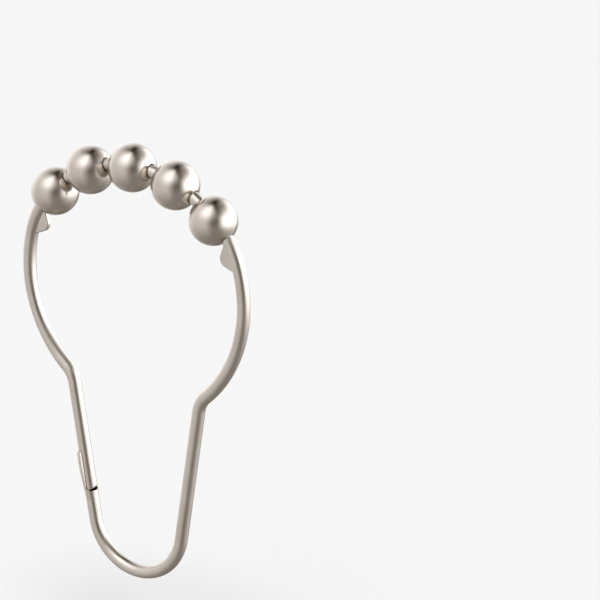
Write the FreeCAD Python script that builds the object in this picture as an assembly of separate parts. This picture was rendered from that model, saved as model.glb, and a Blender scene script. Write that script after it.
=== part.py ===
import FreeCAD, Part
import math
import os

# Hanging hook for a curtain: one bent spring wire carrying five roller balls.
# Millimetres. X runs along the rod that the hook hangs on, Z is up, and the
# front of the hook faces -Y. The origin is the point under the middle ball
# that rests on top of the rod.

# Wire and balls
wire_diameter = 2.2
ball_diameter = 8.0
ball_count = 5
ball_spacing = 8.75        # between neighbouring ball centres, straight across
bore_clearance = 0.05      # all round, past what the bent wire itself needs
bore_land = 0.5            # length of the narrow ring at each end of the bore
bore_mouth_bevel = 0.06

# Outline of the wire's centre line, both sides alike.
# Angles are turned from the top of the crown towards the legs.
crown_radius = 23.7
crown_end_angle = 50.0
shoulder_radius = 14.0
shoulder_end_angle = 72.5
flank_radius = 22.0
flank_end_angle = 139.2
neck_radius = 4.2
loop_radius = 9.05
loop_drop = 60.75          # from the crown down to the centre of the lower loop

# Flat ears that keep the row of balls in place
ear_start_angle = 3.0      # from the end of the ball row to the ear's foot
ear_length = 5.0           # along the wire
ear_reach = 2.96           # from the wire's centre line to the ear's tip
ear_tip_radius = 1.5
ear_thickness = 0.8
ear_edge_round = 0.2
ear_root = 0.7             # how far the flanks carry on into the wire

# Latch on the back leg: a pressed trough that holds the wire's other end
latch_rise = 4.9           # from the lower loop up to the trough's shoulder
trough_length = 6.9
trough_side = 1.5          # half width across the hook, at the rim
trough_back = 1.35         # from the leg's axis to the trough's back
trough_rim = 0.1           # how far the rim lies behind the leg's axis
trough_end_radius = 1.0
trough_blend = 2.0         # from inside the wire up to the shoulder
trough_full_height = 2.8   # from the shoulder up to the full width
shoulder_side = 1.25       # half width across the hook, at the shoulder
shoulder_back = 1.13
trough_root = 0.06         # how far inside the wire the trough's surface starts
trough_clearance = 0.07
tip_gap = 0.3
tip_back_radius = 1.5      # rounding of the tip towards the trough's back
tip_front_radius = 0.6     # and towards the inside of the hook

wire_radius = wire_diameter / 2
ball_radius = ball_diameter / 2
x_axis = FreeCAD.Vector(1, 0, 0)


def outward(angle):
    """Unit vector away from an arc's centre, turned from +Z towards the front."""
    turn = math.radians(angle)
    return FreeCAD.Vector(0, -math.sin(turn), math.cos(turn))


def along(angle):
    """Unit vector along the wire at the same angle, heading for the legs."""
    turn = math.radians(angle)
    return FreeCAD.Vector(0, -math.cos(turn), -math.sin(turn))


def mirrored(shape):
    """The same shape on the back of the hook."""
    return shape.mirror(FreeCAD.Vector(0, 0, 0), FreeCAD.Vector(0, 1, 0))


# Ball row: a ball rides on the wire by the narrow rings at its bore's two ends,
# and is relieved between them, where the bent wire rises past the straight bore.
bore_half_length = math.sqrt(ball_radius ** 2 - wire_radius ** 2)
ring_place = bore_half_length - bore_land / 2
wire_slant = math.asin(ring_place / crown_radius)
wire_rise = crown_radius * (1 - math.cos(wire_slant))
ball_row_radius = crown_radius - wire_rise
ring_room = wire_radius / math.cos(wire_slant) + bore_land / 2 * math.tan(wire_slant)
bore_radius = ring_room + bore_clearance
relief_radius = wire_radius + wire_rise + bore_clearance
ball_step_angle = 2 * math.degrees(math.asin(ball_spacing / 2 / ball_row_radius))
ball_end_angle = math.degrees(math.asin(ball_radius / crown_radius))

# Centres of the outline's arcs, front side
crown_centre = FreeCAD.Vector(0, 0, ball_radius - ball_row_radius)
shoulder_centre = crown_centre + outward(crown_end_angle) * (crown_radius - shoulder_radius)
flank_centre = shoulder_centre + outward(shoulder_end_angle) * (shoulder_radius - flank_radius)
neck_centre = flank_centre + outward(flank_end_angle) * (flank_radius + neck_radius)
loop_centre = crown_centre + FreeCAD.Vector(0, 0, crown_radius - loop_drop)


def leg_angle():
    """Angle of the straight leg that touches both the neck arc and the loop arc."""
    span = neck_centre - loop_centre
    heading = math.degrees(math.atan2(-span.y, span.z))
    return heading + math.degrees(math.acos((neck_radius + loop_radius) / span.Length))


leg_end_angle = leg_angle()
leg_top = neck_centre - outward(leg_end_angle) * neck_radius
leg_foot = loop_centre + outward(leg_end_angle) * loop_radius


def wire_face(centre, direction):
    """Round section of the wire, square to a direction."""
    return Part.Face(Part.Wire(Part.makeCircle(wire_radius, centre, direction)))


def arc_tube(centre, radius, start_angle, end_angle, side=1):
    """Wire bent round a centre; side -1 bends it round the outside of the hook."""
    start = centre + outward(start_angle) * radius * side
    section = wire_face(start, along(start_angle))
    return section.revolve(centre, x_axis, end_angle - start_angle)


def straight_tube(start, end):
    """Straight wire between two points."""
    run = end - start
    return wire_face(start, run).extrude(run)


def front_upper_wire():
    """Front half of the wire from the crown's side down to the neck."""
    return [
        arc_tube(shoulder_centre, shoulder_radius, crown_end_angle, shoulder_end_angle),
        arc_tube(flank_centre, flank_radius, shoulder_end_angle, flank_end_angle),
        arc_tube(neck_centre, neck_radius, flank_end_angle, leg_end_angle, side=-1),
    ]


def ear():
    """Flat ear pinched out of the inside of the wire, next to the front ball."""
    row_end_angle = ball_step_angle * (ball_count - 1) / 2 + ball_end_angle
    half_turn = ear_length / 2 / shoulder_radius
    middle_angle = row_end_angle + ear_start_angle + math.degrees(half_turn)

    # Runs along the wire and depths into the hook, from the wire at the ear's middle
    inside_radius = shoulder_radius - wire_radius
    foot_run = inside_radius * math.sin(half_turn)
    foot_depth = shoulder_radius - inside_radius * math.cos(half_turn)
    tip_depth = ear_reach - ear_tip_radius
    foot_span = math.hypot(foot_run, foot_depth - tip_depth)
    foot_heading = math.atan2(foot_depth - tip_depth, foot_run)
    touch_heading = foot_heading + math.acos(ear_tip_radius / foot_span)
    touch_run = ear_tip_radius * math.cos(touch_heading)
    touch_depth = tip_depth + ear_tip_radius * math.sin(touch_heading)
    slope = (foot_depth - touch_depth) / (foot_run - touch_run)
    root_run = foot_run + ear_root
    root_depth = foot_depth + slope * ear_root

    middle = shoulder_centre + outward(middle_angle) * shoulder_radius
    near_face = middle - x_axis * ear_thickness / 2

    def place(run, depth):
        return near_face + along(middle_angle) * run - outward(middle_angle) * depth

    upper_root = place(-root_run, root_depth)
    upper_touch = place(-touch_run, touch_depth)
    tip = place(0, ear_reach)
    lower_touch = place(touch_run, touch_depth)
    lower_root = place(root_run, root_depth)
    outline = Part.Wire([
        Part.LineSegment(upper_root, upper_touch).toShape(),
        Part.Arc(upper_touch, tip, lower_touch).toShape(),
        Part.LineSegment(lower_touch, lower_root).toShape(),
        Part.LineSegment(lower_root, upper_root).toShape(),
    ])
    plate = Part.Face(outline).extrude(x_axis * ear_thickness)

    # The rims of the tip and of both flanks are rounded, not those of the root
    rims = []
    for edge in plate.Edges:
        run = edge.Vertexes[0].Point - edge.Vertexes[-1].Point
        if abs(run.x) < ear_edge_round and run.Length < 2 * foot_run:
            rims.append(edge)
    return plate.makeFillet(ear_edge_round, rims)


class Leg:
    """Straight frame on the back leg: up along it, back away from the hook."""

    def __init__(self):
        foot = FreeCAD.Vector(0, -leg_foot.y, leg_foot.z)
        top = FreeCAD.Vector(0, -leg_top.y, leg_top.z)
        self.foot = foot
        self.top = top
        self.up = (top - foot).normalize()
        self.back = FreeCAD.Vector(0, self.up.z, -self.up.y)

    def point(self, across, height, side=0.0):
        """Point at a distance behind the axis, up the leg and along the rod."""
        return self.foot + self.back * across + self.up * height + x_axis * side


leg = Leg()
shoulder_height = latch_rise
trough_top = latch_rise + trough_length
tip_height = latch_rise + tip_gap


def leg_prism(points, half_width):
    """Block of the leg's frame with an outline of straight sides and arcs."""
    edges = []
    for kind, *ends in points:
        corners = [leg.point(across, height, -half_width) for across, height in ends]
        if kind == "arc":
            edges.append(Part.Arc(*corners).toShape())
        else:
            edges.append(Part.LineSegment(*corners).toShape())
    return Part.Face(Part.Wire(edges)).extrude(x_axis * 2 * half_width)


def tip_bar(radius, end_height):
    """Round bar down the leg to a flat end."""
    length = leg.top.distanceToPoint(leg.foot) - end_height
    return Part.makeCylinder(radius, length, leg.point(0, end_height), leg.up)


def corner_waste(radius, end_height, corner_radius, side=1):
    """What rounding the back corner of such a bar takes off; side -1 is the front."""
    reach = wire_diameter
    bend = corner_radius * math.sqrt(0.5)
    inner = radius - corner_radius
    outer = radius + reach
    touch_height = end_height + corner_radius
    start = (inner * side, end_height)
    middle = ((inner + bend) * side, touch_height - bend)
    end = (radius * side, touch_height)
    corner = (outer * side, touch_height)
    below = (outer * side, end_height - reach)
    under = (inner * side, end_height - reach)
    return leg_prism([
        ("arc", start, middle, end),
        ("line", end, corner),
        ("line", corner, below),
        ("line", below, under),
        ("line", under, start),
    ], reach)


def section_wire(side, back, height):
    """Oval section of the trough's outside at a height on the leg."""
    centre = leg.point(0, height)
    if side > back:
        long_end = leg.point(0, height, side)
        short_end = leg.point(back, height)
    else:
        long_end = leg.point(back, height)
        short_end = leg.point(0, height, side)
    return Part.Wire(Part.Ellipse(long_end, short_end, centre).toShape())


def trough_body():
    """Lower end of the wire, pressed wide and hollowed to hold the other end."""
    sections = [
        section_wire(wire_radius - trough_root / 2, wire_radius - trough_root,
                     shoulder_height - trough_blend),
        section_wire(shoulder_side, shoulder_back, shoulder_height),
        section_wire(trough_side, trough_back, shoulder_height + trough_full_height),
        section_wire(trough_side, trough_back, trough_top),
    ]
    return Part.makeLoft(sections, True, False)


def trough_front():
    """Everything in front of the trough's rim and above its shoulder."""
    far = wire_diameter * 2
    rim_turn = (trough_rim - trough_end_radius, shoulder_height)
    centre = (rim_turn[0], shoulder_height + trough_end_radius)
    bend = trough_end_radius * math.sqrt(0.5)
    middle = (centre[0] + bend, centre[1] - bend)
    rim_start = (trough_rim, centre[1])
    rim_end = (trough_rim, trough_top + far)
    return leg_prism([
        ("line", (-far, shoulder_height), rim_turn),
        ("arc", rim_turn, middle, rim_start),
        ("line", rim_start, rim_end),
        ("line", rim_end, (-far, rim_end[1])),
        ("line", (-far, rim_end[1]), (-far, shoulder_height)),
    ], far)


def make_ring_wire():
    """The whole bent wire with its ears and both ends of the latch."""
    upper = front_upper_wire()
    pieces = [arc_tube(crown_centre, crown_radius, -crown_end_angle, crown_end_angle)]
    pieces += upper
    pieces += [mirrored(piece) for piece in upper]
    pieces += [ear(), mirrored(ear())]
    pieces.append(straight_tube(leg_top, leg_foot))
    pieces.append(arc_tube(loop_centre, loop_radius, leg_end_angle, 360 - leg_end_angle))
    pieces.append(straight_tube(leg.foot, leg.point(0, shoulder_height)))
    trough = trough_body().cut(trough_front())
    room = wire_radius + trough_clearance
    cavity = tip_bar(room, shoulder_height).cut(corner_waste(room, shoulder_height, tip_back_radius))
    pieces.append(trough.cut(cavity))
    tip = tip_bar(wire_radius, tip_height)
    tip = tip.cut(corner_waste(wire_radius, tip_height, tip_back_radius))
    pieces.append(tip.cut(corner_waste(wire_radius, tip_height, tip_front_radius, side=-1)))
    ring = pieces[0].multiFuse(pieces[1:])
    return ring.removeSplitter()


def make_ball(index):
    """One roller ball, bored through along the wire at its place in the row."""
    angle = (index - (ball_count - 1) / 2) * ball_step_angle
    centre = crown_centre + outward(-angle) * ball_row_radius
    axis = along(-angle)
    ball = Part.makeSphere(ball_radius, centre, axis)
    bore = Part.makeCylinder(bore_radius, ball_diameter, centre - axis * ball_radius, axis)
    bored = ball.cut(bore)
    mouths = [edge for edge in bored.Edges if edge.isClosed()]
    bevelled = bored.makeChamfer(bore_mouth_bevel, mouths)
    relief_half_length = bore_half_length - bore_land
    relief = Part.makeCylinder(relief_radius, relief_half_length * 2,
                               centre - axis * relief_half_length, axis)
    return bevelled.cut(relief)


def save(name, shape):
    """Write one node, with a line on what it holds."""
    shape.exportStep(os.path.join("parts", name + ".step"))
    box = shape.BoundBox
    print(name, len(shape.Solids), "solid", shape.isValid(), "volume", round(shape.Volume, 3),
          "box", [round(v, 2) for v in (box.XMin, box.YMin, box.ZMin, box.XMax, box.YMax, box.ZMax)])


os.makedirs("parts", exist_ok=True)
save("ring_wire", make_ring_wire())
for number in range(ball_count):
    save("roller_ball_" + str(number + 1), make_ball(number))
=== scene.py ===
import math

import bpy
from mathutils import Matrix, Vector


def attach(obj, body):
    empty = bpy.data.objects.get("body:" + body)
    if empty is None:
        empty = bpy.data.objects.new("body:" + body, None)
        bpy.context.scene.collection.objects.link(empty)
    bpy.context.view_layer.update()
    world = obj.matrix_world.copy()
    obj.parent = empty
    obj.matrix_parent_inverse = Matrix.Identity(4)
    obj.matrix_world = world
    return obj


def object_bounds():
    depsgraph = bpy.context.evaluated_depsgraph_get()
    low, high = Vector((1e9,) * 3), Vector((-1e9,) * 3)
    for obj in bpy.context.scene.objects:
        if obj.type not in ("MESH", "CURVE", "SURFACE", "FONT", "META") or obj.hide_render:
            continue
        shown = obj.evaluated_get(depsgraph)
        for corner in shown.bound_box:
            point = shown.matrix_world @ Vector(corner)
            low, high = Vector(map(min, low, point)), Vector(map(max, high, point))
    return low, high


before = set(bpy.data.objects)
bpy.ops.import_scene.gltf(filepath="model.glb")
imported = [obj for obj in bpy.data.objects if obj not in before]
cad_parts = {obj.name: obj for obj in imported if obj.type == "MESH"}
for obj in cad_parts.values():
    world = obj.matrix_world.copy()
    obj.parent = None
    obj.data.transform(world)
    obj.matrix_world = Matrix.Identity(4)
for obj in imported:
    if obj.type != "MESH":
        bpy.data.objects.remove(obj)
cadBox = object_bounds()
print("frame loaded:", sorted(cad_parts))


# shader maths written as plain expressions

class Sock:
    def __init__(self, graph, link):
        self.graph = graph
        self.link = link

    def math(self, operation, *others):
        return self.graph.node("ShaderNodeMath", {"operation": operation}, self, *others)

    def __add__(self, other):
        return self.math("ADD", other)

    def __sub__(self, other):
        return self.math("SUBTRACT", other)

    def __rsub__(self, other):
        return self.graph.node("ShaderNodeMath", {"operation": "SUBTRACT"}, other, self)

    def __mul__(self, other):
        return self.math("MULTIPLY", other)

    __radd__ = __add__
    __rmul__ = __mul__

    def split(self):
        parts = self.graph.node("ShaderNodeSeparateXYZ", {}, self)
        return [Sock(self.graph, part) for part in parts.link.node.outputs]

    def ramp(self, low, high, start=0.0, end=1.0):
        return self.graph.node(
            "ShaderNodeMapRange", {"interpolation_type": "SMOOTHSTEP"}, self, low, high, start, end)


class Graph:
    def __init__(self, tree):
        self.tree = tree
        tree.nodes.clear()

    def node(self, kind, settings, *inputs, out=0, **named):
        made = self.tree.nodes.new(kind)
        for key, value in settings.items():
            setattr(made, key, value)
        for key, value in list(enumerate(inputs)) + list(named.items()):
            socket = made.inputs[key.replace("_", " ")] if isinstance(key, str) else made.inputs[key]
            if isinstance(value, Sock):
                self.tree.links.new(value.link, socket)
            else:
                socket.default_value = value
        return Sock(self, made.outputs[out]) if made.outputs else None

    def mix(self, factor, first, second):
        # the colour result is the node's third output
        return self.node("ShaderNodeMix", {"data_type": "RGBA"}, out=2, Factor=factor, A=first, B=second)


def newMaterial(name):
    material = bpy.data.materials.new(name)
    material.use_nodes = True
    return material, Graph(material.node_tree)


# satin nickel: fine grain all over, drawing lines along the wire, a little unevenness in the sheen

wireFinish = {
    "colour": (0.72, 0.665, 0.605),
    "worn": (0.66, 0.60, 0.535),
    "wornFrom": 0.35,            # part of the broad noise from which the tint turns to worn
    "wornFull": 0.75,
    "roughness": 0.24,
    "spread": 0.05,              # of the roughness, by the broad noise
    "grainSpread": 0.03,
    "lineSpread": 0.06,
    "broadScale": 160.0,
    "grain": 0.25,               # share of the relief
    "grainScale": 7000.0,
    "lines": 0.5,
    "lineScale": (5200.0, 70.0, 70.0),
    "relief": 0.000012,          # metres
}
ballFinish = dict(
    wireFinish, roughness=0.20, lineSpread=0.0, grain=0.7, grainScale=10000.0, lines=0.0)


def satinNickel(name, values):
    material, graph = newMaterial(name)
    place = graph.node("ShaderNodeTexCoord", {}, out="Object")
    broad = graph.node("ShaderNodeTexNoise", {}, place, Scale=values["broadScale"], Detail=3.0, Roughness=0.55)
    grain = graph.node("ShaderNodeTexNoise", {}, place, Scale=values["grainScale"], Detail=2.0, Roughness=0.5)
    stretched = graph.node("ShaderNodeMapping", {}, place, Scale=values["lineScale"])
    lines = graph.node("ShaderNodeTexNoise", {}, stretched, Scale=1.0, Detail=2.0, Roughness=0.5)
    wear = broad.ramp(values["wornFrom"], values["wornFull"])
    tint = graph.mix(wear, (*values["colour"], 1.0), (*values["worn"], 1.0))
    unevenness = (broad - 0.5) * values["spread"] + (grain - 0.5) * values["grainSpread"]
    unevenness = unevenness + (lines - 0.5) * values["lineSpread"]
    relief = grain * values["grain"] + lines * values["lines"]
    bump = graph.node("ShaderNodeBump", {}, Strength=1.0, Distance=values["relief"], Height=relief)
    shader = graph.node(
        "ShaderNodeBsdfPrincipled", {}, Base_Color=tint, Metallic=1.0,
        Roughness=unevenness + values["roughness"], Normal=bump)
    graph.node("ShaderNodeOutputMaterial", {}, shader)
    return material


wireNickel = satinNickel("satinNickelWire", wireFinish)
ballNickel = satinNickel("satinNickelBall", ballFinish)
for name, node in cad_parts.items():
    node.data.materials.clear()
    node.data.materials.append(wireNickel if name == "ring_wire" else ballNickel)
print("metal done")


# lips of the latch: a narrow slanted strip along each rim of the trough, down to where the rim turns back

latchLip = {
    "foot": (0.0, 0.008928, -0.057956),    # where the back leg meets the lower loop
    "lean": 9.414,                         # of the leg, degrees from upright
    "top": 0.0118,                         # heights are measured up the leg from its foot
    "turn": 0.0059,                        # height at which the rim starts to turn back
    "turnRadius": 0.001,
    "turnEnd": 60.0,                       # degrees of the turn that the lip follows
    "rim": 0.0001,                         # from the leg's axis back to the rim
    "hollow": 0.00117,                     # half width inside
    "widest": 0.001575,                    # half width outside, at its widest
    "widestHeight": 0.00985,
    "narrowing": 15.8,                     # loss of half width by the square of the way from there
    "inset": 0.00003,                      # from the rim's outer edge
    "sink": 0.00002,                       # into the rim
    "slant": 0.37,                         # rise over width
    "straightSteps": 12,
    "turnSteps": 8,
    "smooth": 30.0,                        # degrees, edges below this are shaded smooth
}


def lipStations(values):
    # down the rim: the lip's foot on the hollow's side, its width and depth, and how far the rim has turned
    rim = []
    for step in range(values["straightSteps"]):
        part = step / values["straightSteps"]
        rim.append((values["rim"], values["top"] + (values["turn"] - values["top"]) * part, 0.0))
    for step in range(values["turnSteps"] + 1):
        turned = math.radians(values["turnEnd"]) * step / values["turnSteps"]
        back = values["rim"] - values["turnRadius"] * (1 - math.cos(turned))
        rim.append((back, values["turn"] - values["turnRadius"] * math.sin(turned), turned))
    stations = []
    for back, height, turned in rim:
        inner = math.sqrt(values["hollow"] ** 2 - back ** 2) + values["sink"] / 2    # just outside the hollow
        narrowed = values["narrowing"] * (height - values["widestHeight"]) ** 2
        width = values["widest"] - narrowed - values["inset"] - inner
        depth = values["slant"] * width + values["sink"]
        sunk = values["sink"] * Vector((0, math.cos(turned), -math.sin(turned)))
        stations.append((Vector((-inner, back, height)) + sunk, width, depth, turned))
    return stations


def makeLip(values, name):
    # the section, half a plane, is extruded down an upright rim, and the whole is then leaned and moved
    stations = lipStations(values)
    bpy.ops.object.select_all(action="DESELECT")
    bpy.ops.mesh.primitive_plane_add(size=1.0)
    lip = bpy.context.object
    lip.name = name
    bpy.ops.object.mode_set(mode="EDIT")
    bpy.ops.mesh.bisect(plane_co=(0, 0, 0), plane_no=(-1, -1, 0), clear_outer=True)
    bpy.ops.mesh.select_all(action="SELECT")
    corner = Vector((0.5, 0.5, 0))         # the plane's own, with the section's right angle
    foot, width, depth, _ = stations[0]
    bpy.ops.transform.resize(value=(width, depth, 1.0), center_override=corner)
    bpy.ops.transform.translate(value=foot - corner)
    # with no window transform.rotate turns the other way, and so the matrix has the minus
    for last, (foot, width, depth, turned) in zip(stations, stations[1:]):
        lastFoot, lastWidth, lastDepth, lastTurned = last
        bpy.ops.mesh.extrude_region_move(TRANSFORM_OT_translate={"value": foot - lastFoot})
        bpy.ops.transform.rotate(value=turned - lastTurned, orient_axis="X", center_override=foot)
        bpy.ops.transform.resize(
            value=(width / lastWidth, depth / lastDepth, 1.0), orient_type="GLOBAL",
            orient_matrix=Matrix.Rotation(-turned, 3, "X"), orient_matrix_type="GLOBAL", center_override=foot)
    bpy.ops.mesh.select_all(action="SELECT")
    bpy.ops.mesh.normals_make_consistent(inside=False)
    bpy.ops.transform.rotate(value=math.radians(values["lean"]), orient_axis="X", center_override=(0, 0, 0))
    bpy.ops.transform.translate(value=values["foot"])
    bpy.ops.object.mode_set(mode="OBJECT")
    bpy.ops.object.shade_smooth_by_angle(angle=math.radians(values["smooth"]))
    lip.data.materials.append(wireNickel)
    return lip


def mirrorLip(lip, name):
    bpy.ops.object.select_all(action="DESELECT")
    lip.select_set(True)
    bpy.ops.object.duplicate()
    mirrored = bpy.context.object
    mirrored.name = name
    bpy.ops.object.mode_set(mode="EDIT")
    bpy.ops.mesh.select_all(action="SELECT")
    bpy.ops.transform.resize(value=(-1, 1, 1), center_override=(0, 0, 0))
    bpy.ops.mesh.normals_make_consistent(inside=False)
    bpy.ops.object.mode_set(mode="OBJECT")
    return mirrored


nearLip = makeLip(latchLip, "troughLipNear")
farLip = mirrorLip(nearLip, "troughLipFar")
for lip in (nearLip, farLip):
    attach(lip, "ring")
print("latch done")


# studio: world light in a few soft panels, each brightest at its core and fading outwards

panels = {
    # heading and height of the middle, core and fade across, core and fade upright (degrees), strength
    "leftBox": (178.0, 59.0, 0.0, 83.0, 0.0, 56.0, 1.21),
    "leftWall": (140.0, 34.0, 32.0, 45.0, 1.0, 118.0, 0.70),
    "rightBox": (-50.0, 9.0, 44.0, 33.0, 4.0, 38.0, 1.25),
    "rightWall": (-1.0, 11.0, 66.0, 50.0, 0.0, 72.0, 1.08),
    "backShade": (20.0, 20.0, 3.0, 23.0, 45.0, 50.0, -0.34),
    "sideShade": (-1.0, -12.0, 5.0, 15.0, 6.0, 22.0, -0.8),
}
roomLight = {
    "low": 0.27,                           # brightness below lowEnd
    "high": 0.05,                          # and above highStart, with a smooth turn between
    "lowEnd": -30.0,                       # degrees above the horizon
    "highStart": 37.0,
    "lowTint": (1.06, 0.985, 0.90),
    "highTint": (1.35, 0.95, 0.50),
    "panelTint": (0.985, 1.0, 1.03),
    "backdrop": (0.955, 0.955, 0.955),     # what the camera sees past the floor
}


def makeWorld(values):
    world = bpy.data.worlds.new("studioWorld")
    bpy.context.scene.world = world
    world.use_nodes = True
    graph = Graph(world.node_tree)
    x, y, z = graph.node("ShaderNodeTexCoord", {}, out="Generated").split()
    turn = y.math("ARCTAN2", x)
    height = z.math("ARCSINE")
    glows = []
    for heading, lift, coreAcross, fadeAcross, coreUp, fadeUp, strength in panels.values():
        away = (turn - math.radians(heading)).math("WRAP", math.pi, -math.pi).math("ABSOLUTE")
        above = (height - math.radians(lift)).math("ABSOLUTE")
        across = away.ramp(math.radians(coreAcross), math.radians(coreAcross + fadeAcross), 1.0, 0.0)
        upright = above.ramp(math.radians(coreUp), math.radians(coreUp + fadeUp), 1.0, 0.0)
        glows.append(across * upright * strength)
    light = sum(glows[1:], glows[0])
    lowEnd = math.radians(values["lowEnd"])
    highStart = math.radians(values["highStart"])
    channels = []
    for lowTint, highTint, panelTint in zip(values["lowTint"], values["highTint"], values["panelTint"]):
        base = height.ramp(lowEnd, highStart, values["low"] * lowTint, values["high"] * highTint)
        channels.append((base + light * panelTint).math("MAXIMUM", 0.0))
    colour = graph.node("ShaderNodeCombineXYZ", {}, *channels)
    seen = graph.node("ShaderNodeLightPath", {}, out="Is Camera Ray")
    shown = graph.mix(seen, colour, (*values["backdrop"], 1.0))
    background = graph.node("ShaderNodeBackground", {}, shown, 1.0)
    graph.node("ShaderNodeOutputWorld", {}, background)


makeWorld(roomLight)

paleFloor = {
    "side": 8.0,
    "gap": 0.012,                          # under the hook, which hangs
    "colour": (0.74, 0.74, 0.74),
    "roughness": 0.9,
}


def makeFloor(values):
    low, _ = cadBox
    bpy.ops.object.select_all(action="DESELECT")
    bpy.ops.mesh.primitive_plane_add(size=values["side"], location=(0, 0, low.z - values["gap"]))
    floor = bpy.context.object
    floor.name = "studioFloor"
    material, graph = newMaterial("floorPaint")
    shader = graph.node(
        "ShaderNodeBsdfPrincipled", {}, Base_Color=(*values["colour"], 1.0), Roughness=values["roughness"])
    graph.node("ShaderNodeOutputMaterial", {}, shader)
    floor.data.materials.append(material)
    floor.visible_glossy = False


makeFloor(paleFloor)

overheadLamp = {
    "place": (-2.5, -1.5, 12.0),
    "aim": (0.0, 0.0, -0.03),
    "size": 5.0,
    "power": 700.0,
}


def makeLamp(values):
    data = bpy.data.lights.new("overheadLamp", "AREA")
    data.shape = "DISK"
    data.size = values["size"]
    data.energy = values["power"]
    lamp = bpy.data.objects.new("overheadLamp", data)
    lamp.location = values["place"]
    lamp.rotation_mode = "QUATERNION"
    lamp.rotation_quaternion = (Vector(values["aim"]) - Vector(values["place"])).to_track_quat("-Z", "Y")
    lamp.visible_glossy = False
    bpy.context.scene.collection.objects.link(lamp)


makeLamp(overheadLamp)

photoCamera = {
    "place": (-0.39362, -0.30329, 0.13480),
    "heading": 34.51,                      # degrees from +X towards +Y
    "fall": 17.14,                         # degrees below the horizon
    "focal": 3192.8,                       # in pixels of a frame 600 wide
    "frameWidth": 600.0,
    "sensorWidth": 36.0,
    "nearest": 0.01,
    "farthest": 50.0,
}


def makeCamera(values):
    data = bpy.data.cameras.new("photoCamera")
    data.sensor_width = values["sensorWidth"]
    data.lens = values["focal"] / values["frameWidth"] * values["sensorWidth"]
    data.clip_start = values["nearest"]
    data.clip_end = values["farthest"]
    camera = bpy.data.objects.new("photoCamera", data)
    turn = math.radians(values["heading"])
    fall = math.radians(values["fall"])
    ahead = Vector((math.cos(fall) * math.cos(turn), math.cos(fall) * math.sin(turn), -math.sin(fall)))
    camera.location = values["place"]
    camera.rotation_mode = "QUATERNION"
    camera.rotation_quaternion = ahead.to_track_quat("-Z", "Y")
    bpy.context.scene.collection.objects.link(camera)
    bpy.context.scene.camera = camera


makeCamera(photoCamera)
bpy.context.scene.view_settings.view_transform = "Standard"
print("studio done")
